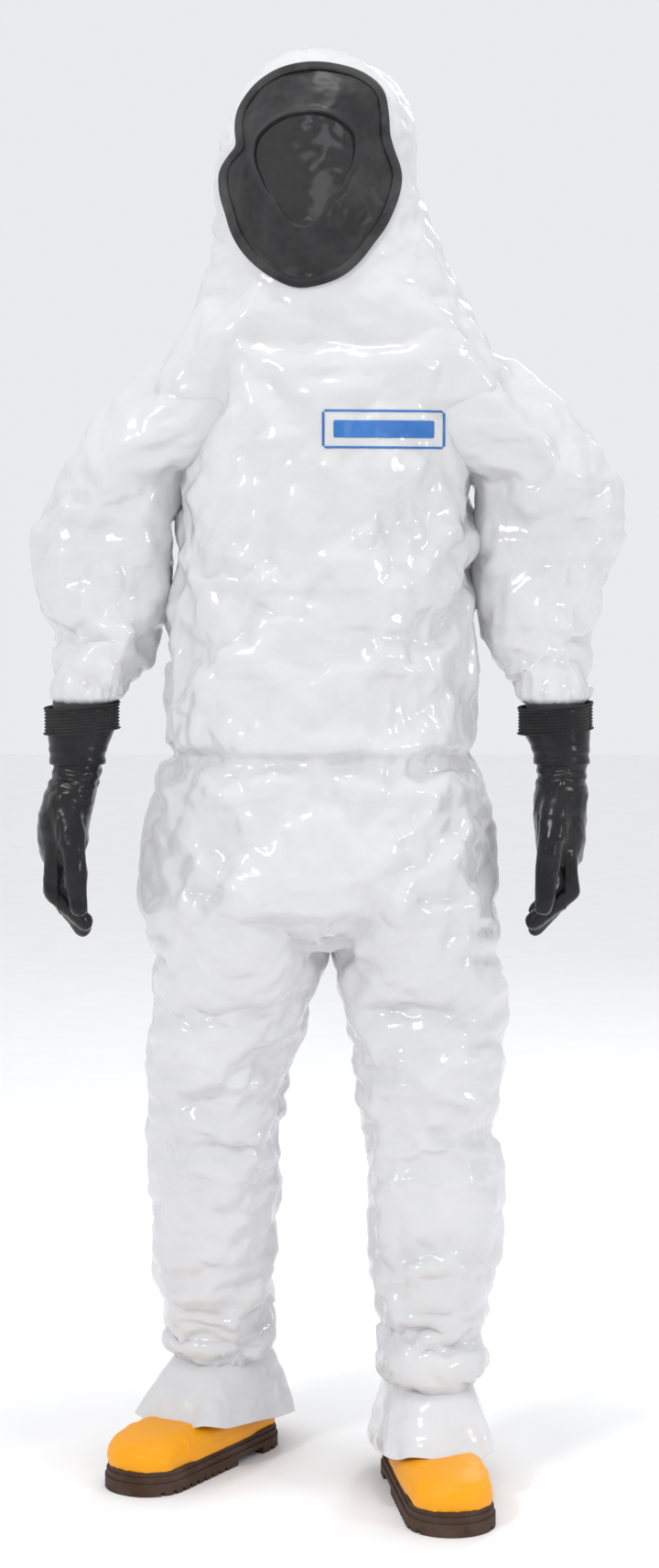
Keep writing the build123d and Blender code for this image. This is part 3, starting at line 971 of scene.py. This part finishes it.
def hand_clouds(side):
    """Palm, curled fingers and a hanging thumb."""
    arm = HANDS[side]
    sign = arm["sign"]
    wx, wy = arm["wrist"]
    hx, hy = arm["hand"]
    rings = [
        level(sign * wx, wy, 0.940, 0.034, 0.036),
        level(sign * wx, wy, 0.918, 0.034, 0.037),
        level(sign * (wx + hx) / 2, hy, 0.890, 0.036, 0.044),
        level(sign * hx, hy, 0.845, 0.036, 0.047),
        level(sign * hx, hy + 0.002, 0.800, 0.029, 0.044),
    ]
    clouds = pairs(rings)
    fingers = [(-0.030, 0.728), (-0.010, 0.716), (0.010, 0.718), (0.030, 0.734)]
    for number, (reach, drop) in enumerate(fingers):
        y = hy + reach
        knuckle = (sign * (hx + 0.006), y, 0.812)
        middle = (sign * (hx + 0.010), y + 0.001, 0.768)
        tip = (sign * (arm["curl"] + number * 0.003), y + 0.004, drop)
        clouds += bones([knuckle, middle, tip], [0.0160, 0.0152, 0.0130])
    base = (sign * (hx - 0.004), hy - 0.026, 0.880)
    bend = (sign * (hx - 0.018), hy - 0.056, 0.822)
    tip = (sign * (hx - 0.026), hy - 0.062, 0.752)
    clouds += bones([base, bend, tip], [0.024, 0.0185, 0.0140])
    return [cloud + (ROW_X, ROW_Y, 0) for cloud in clouds]


def make_hand(side):
    """Moulded rubber hand with a seam down its outer side."""
    arm = HANDS[side]
    sign = arm["sign"]
    hand = volume(f"glove_{side}", hand_clouds(side), 0.0032, 7)
    subdivide(hand)
    delete_faces(hand, face_centres(hand)[:, 2] > 0.932)
    points = points_of(hand)
    height = 0.0065 * crease(points * (1, 1, 1.3), 0.055, 121) + 0.0016 * crease(points, 0.020, 125)
    rolls = np.sin(points[:, 2] * 420 + 5 * wave(points / 0.03, 131))
    height += 0.0012 * rolls * bump(points[:, 2], 0.912, 0.016)
    seam = np.abs(points[:, 0] - ROW_X - sign * (arm["hand"][0] + 0.004)) < 0.0012
    height += 0.0009 * seam * (points[:, 1] < 0)
    put_points(hand, points + normals_of(hand) * height[:, None])
    shade_smooth(hand)
    dress(hand, GLOVE)
    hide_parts(f"glove_hand_{side}")
    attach(hand, f"hand_{side}")


def make_gauntlet(side):
    """Wrinkled tube from the sleeve's cuff to the wrist."""
    arm = HANDS[side]
    sign = arm["sign"]
    sx, sy = arm["sleeve"]
    wx, wy = arm["wrist"]
    turn = np.linspace(0, 2 * np.pi, 96, endpoint=False)
    rings = []
    for step in range(41):
        part = step / 40
        z = GAUNTLET_TOP - part * (GAUNTLET_TOP - GAUNTLET_BASE)
        lean = rise(z, 0.935, 0.985)
        radius = 0.0345 + 0.0095 * rise(z, 0.935, 0.985)
        fold = 0.0009 * math.sin(z * 420) * (1 - rise(z, 0.945, 0.960))
        reach = radius + fold * (0.6 + 0.4 * np.sin(turn * 3 + z * 90))
        x = sign * (wx + (sx - wx) * lean) + reach * np.cos(turn) + ROW_X
        y = wy + (sy - wy) * lean + reach * 1.03 * np.sin(turn) + ROW_Y
        tilt = 0.004 * np.sin(turn + 1.2)
        rings.append(np.stack([x, y, z + tilt * rise(z, 0.95, 0.99)], 1))
    gauntlet = ring_mesh(f"gauntlet_{side}", rings)
    modified(gauntlet, "SOLIDIFY", thickness=0.0016, offset=-1.0)
    dress(gauntlet, GLOVE)
    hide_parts(f"glove_gauntlet_{side}", f"glove_wrist_{side}")
    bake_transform(gauntlet)


def make_band(side):
    """Ribbed elastic band that clamps the glove over the sleeve."""
    arm = HANDS[side]
    sx, sy = arm["sleeve"]
    x = arm["sign"] * sx + ROW_X
    y = sy + ROW_Y
    rings = []
    turn = np.linspace(0, 2 * np.pi, 128, endpoint=False)
    for step in range(61):
        z = BAND_BASE + BAND_HEIGHT * step / 60
        rib = 0.0011 * math.sin(2 * math.pi * (z - BAND_BASE) / RIB_PITCH)
        edge = 0.0018 * (bump(z, BAND_BASE, 0.002) + bump(z, BAND_BASE + BAND_HEIGHT, 0.002))
        reach = 0.0470 + rib + edge + 0.0012 * np.sin(turn * 2 + 0.6)
        tilt = 0.004 * np.sin(turn + 1.2)
        rings.append(np.stack([x + reach * np.cos(turn), y + reach * np.sin(turn), z + tilt], 1))
    band = ring_mesh(f"glove_band_rubber_{side}", rings)
    modified(band, "SOLIDIFY", thickness=0.0022, offset=-1.0)
    dress(band, BAND)
    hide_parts(f"glove_band_{side}")
    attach(band, f"forearm_{side}")


for side in SIDES:
    make_hand(side)
    make_gauntlet(side)
    make_band(side)

# ---- boots and hems
FEET = {"right": (-0.142, 0.105, -32.0), "left": (0.127, -0.026, 7.6)}
BOOT_YELLOW = rubber_material("boot_yellow", (0.90, 0.36, 0.0), 0.34, 0.02, 0.25)


def on_foot(points, side):
    """Points of a boot's own frame, toe along -Y, put at their place."""
    x, y, turn = FEET[side]
    angle = math.radians(turn)
    made = points.copy()
    made[:, 0] = x + points[:, 0] * math.cos(angle) - points[:, 1] * math.sin(angle) + ROW_X
    made[:, 1] = y + points[:, 0] * math.sin(angle) + points[:, 1] * math.cos(angle) + ROW_Y
    return made


def stadium(width, heel, toe, z, count=72, shape=2.3):
    """A level rounded outline from heel to toe, as points."""
    turn = np.linspace(0, 2 * np.pi, count, endpoint=False)
    c, s = np.cos(turn), np.sin(turn)
    straight = (toe - heel) / 2 - width / 2
    x = width / 2 * np.sign(c) * np.abs(c) ** (2 / shape)
    y = width / 2 * np.sign(s) * np.abs(s) ** (2 / shape) + straight * np.clip(s * 2.5, -1, 1)
    return np.stack([x, y - (toe + heel) / 2, np.full(count, z)], 1)

def make_boot(side):
    """Rubber boot upper with a round toe, a raised toe band and a collar."""
    vamp = [
        stadium(0.108, -0.080, 0.224, 0.028, shape=2.1), stadium(0.108, -0.080, 0.223, 0.050, shape=2.1),
        stadium(0.102, -0.078, 0.208, 0.061, shape=2.1), stadium(0.080, -0.074, 0.178, 0.068),
        stadium(0.076, -0.074, 0.110, 0.072), stadium(0.080, -0.074, 0.064, 0.108),
    ]
    shaft = [
        stadium(0.090, -0.078, 0.060, 0.030), stadium(0.091, -0.076, 0.060, 0.080),
        stadium(0.092, -0.074, 0.056, 0.116),
    ]
    boot = volume(f"boot_{side}", pairs(vamp) + pairs(shaft), 0.0035, 8)
    points = points_of(boot)
    x, y, z = points.T
    cap = bump(-y, 0.150 + 0.10 * np.abs(x), 0.0035) * rise(z, 0.034, 0.045)
    foxing = bump(z, 0.040, 0.0035) + 0.6 * bump(z, 0.118, 0.005)
    heel = bump(-y, -0.030, 0.003) * (z < 0.10) * (z > 0.04)
    height = 0.0016 * cap + 0.0014 * foxing + 0.0012 * heel
    fold = bump(-y, 0.085, 0.030) * rise(z, 0.060, 0.075)
    height += fold * 0.0035 * crease(points * (0.5, 2.0, 1.0), 0.035, 151)
    height += 0.0010 * crease(points, 0.030, 155)
    points += normals_of(boot) * height[:, None]
    put_points(boot, on_foot(points, side))
    subdivide(boot)
    shade_smooth(boot)
    dress(boot, BOOT_YELLOW)
    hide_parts(f"boot_upper_{side}")
    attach(boot, f"foot_{side}")


def make_hem(side):
    """Flared film skirt that hangs from the ankle elastic over the boot."""
    rings = []
    count = 180
    turn = np.linspace(0, 2 * np.pi, count, endpoint=False)
    seed = 3 if side == "right" else 8
    wavy = np.sin(turn * 3 + seed) + 0.7 * np.sin(turn * 5 + 2.1 * seed) + 0.4 * np.sin(turn * 9 + seed)
    for step in range(25):
        part = step / 24
        width = 0.100 + 0.054 * part ** 0.6
        toe = 0.054 + 0.082 * part ** 0.6
        heel = -0.068 - 0.046 * part ** 0.7
        ring = stadium(width, heel, toe, 0.134 - 0.080 * part, count, 2.2)
        middle = np.array([0, -(heel + toe) / 2])
        flute = 1 + (0.006 + 0.034 * part ** 1.3) * np.maximum(wavy, -0.7)
        ring[:, :2] = middle + (ring[:, :2] - middle) * flute[:, None]
        ring[:, 2] += part * (0.004 * wavy - 0.10 * (ring[:, 1] + 0.01))
        rings.append(ring)
    hem = ring_mesh(f"hem_film_{side}", rings)
    points = points_of(hem)
    z = points[:, 2].copy()
    height = 0.0045 * facets(points, 0.045, 5, 161 + seed)
    height += 0.0030 * crease(points * (1, 1, 0.5), 0.050, 165)
    height = (height + 0.002) * rise(0.128 - z, 0.0, 0.02)
    points += normals_of(hem) * height[:, None]
    points[:, 2] = np.maximum(points[:, 2], 0.036)
    put_points(hem, on_foot(points, side))
    subdivide(hem)
    modified(hem, "SOLIDIFY", thickness=0.0010, offset=0.0)
    shade_smooth(hem)
    dress(hem, FILM)
    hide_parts(f"boot_skirt_{side}")
    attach(hem, f"foot_{side}")


for side in SIDES:
    make_boot(side)
    make_hem(side)

# ---- label, flap and small parts
def make_label():
    """Plain printed patch on the chest, laid over the film."""
    low = (-0.009, 1.333)
    across, up = 55, 19
    size = (0.157, 0.049)
    grid = []
    for row in range(up):
        for column in range(across):
            x = low[0] + size[0] * column / (across - 1)
            z = low[1] + size[1] * row / (up - 1)
            grid.append((x, front_of(x, z) - 0.0009, z))
    faces = []
    for row in range(up - 1):
        for column in range(across - 1):
            frame_row = row in (0, up - 2)
            frame_column = column in (0, across - 2)
            bar = 5 <= row <= up - 7 and 5 <= column <= across - 7
            if (frame_row or frame_column or bar) and not (frame_row and frame_column):
                a = row * across + column
                faces.append((a, a + 1, a + across + 1, a + across))
    label = new_mesh("label_patch", grid, faces)
    subdivide(label)
    modified(label, "SOLIDIFY", thickness=0.0004, offset=0.0)
    shade_smooth(label)
    dress(label, rubber_material("label_print", (0.03, 0.16, 0.48), 0.28, 0.06, 0.25))
    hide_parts("chest_label")
    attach(label, "torso")


def make_flap():
    """Storm flap over the rear zip: a soft strip with stitched edges."""
    low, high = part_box("storm_flap")
    across, up = 29, 140
    verts = []
    for face in (0, 1):
        for row in range(up):
            for column in range(across):
                u = column / (across - 1)
                v = row / (up - 1)
                x = low.x + (high.x - low.x) * u
                z = low.z + (high.z - low.z) * v
                soft = u * 0.0022 * math.sin(v * 31 + 1.3 * math.sin(v * 9))
                stitch = -0.0004 if abs(u - 0.94) < 0.02 or abs(u - 0.06) < 0.02 else 0.0
                y = (low.y if face == 0 else high.y + stitch) + max(0.0, soft)
                verts.append((x, y, z))
    half = across * up
    faces = []
    for row in range(up - 1):
        for column in range(across - 1):
            a = row * across + column
            faces.append((a, a + across, a + across + 1, a + 1))
            faces.append((half + a, half + a + 1, half + a + across + 1, half + a + across))
    edge = list(range(across))
    edge += [r * across + across - 1 for r in range(1, up)]
    edge += [(up - 1) * across + c for c in range(across - 2, -1, -1)]
    edge += [r * across for r in range(up - 2, 0, -1)]
    for a, b in zip(edge, edge[1:] + edge[:1]):
        faces.append((a, b, half + b, half + a))
    flap = new_mesh("storm_flap_film", verts, faces)
    solid = bmesh.new()
    solid.from_mesh(flap.data)
    bmesh.ops.recalc_face_normals(solid, faces=solid.faces)
    solid.to_mesh(flap.data)
    solid.free()
    shade_smooth(flap)
    dress(flap, FILM)
    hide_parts("storm_flap")
    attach(flap, "storm_flap")


make_label()
make_flap()

TAPE = paint("zip_tape", (0.10, 0.10, 0.11), 0.8, 0.4)
TEETH = rubber_material("zip_plastic", (0.05, 0.05, 0.055), 0.35, 0.05, 0.05)
LOOP = paint("hook_loop", (0.74, 0.74, 0.75), 0.95, 0.9)
ELASTIC = ribbed_material("elastic", (0.75, 0.75, 0.76), 0.012)
SOLE = rubber_material("sole_brown", (0.050, 0.022, 0.010), 0.62, 0.05, 0.3)
FELT = paint("insole_felt", (0.22, 0.22, 0.23), 0.95, 0.8)
RING = paint("ring_plastic", (0.04, 0.04, 0.042), 0.5, 0.2)
STEEL = metal_material("cap_steel", (0.55, 0.55, 0.57), 0.35)
CAD_LOOKS = {
    "zip_tape_left": TAPE, "zip_tape_right": TAPE, "zip_teeth": TEETH, "zip_stops": TEETH,
    "zip_slider": TEETH, "zip_pull": TEETH, "loop_strip": LOOP, "hook_strip": LOOP,
    "zip_placket": FILM, "flap_root": FILM,
}
for side in SIDES:
    CAD_LOOKS[f"boot_sole_{side}"] = SOLE
    CAD_LOOKS[f"boot_insole_{side}"] = FELT
    CAD_LOOKS[f"toe_cap_{side}"] = STEEL
    CAD_LOOKS[f"cuff_ring_{side}"] = RING
    CAD_LOOKS[f"ankle_elastic_{side}"] = ELASTIC
for name, look in CAD_LOOKS.items():
    dress(NODES[name], look)
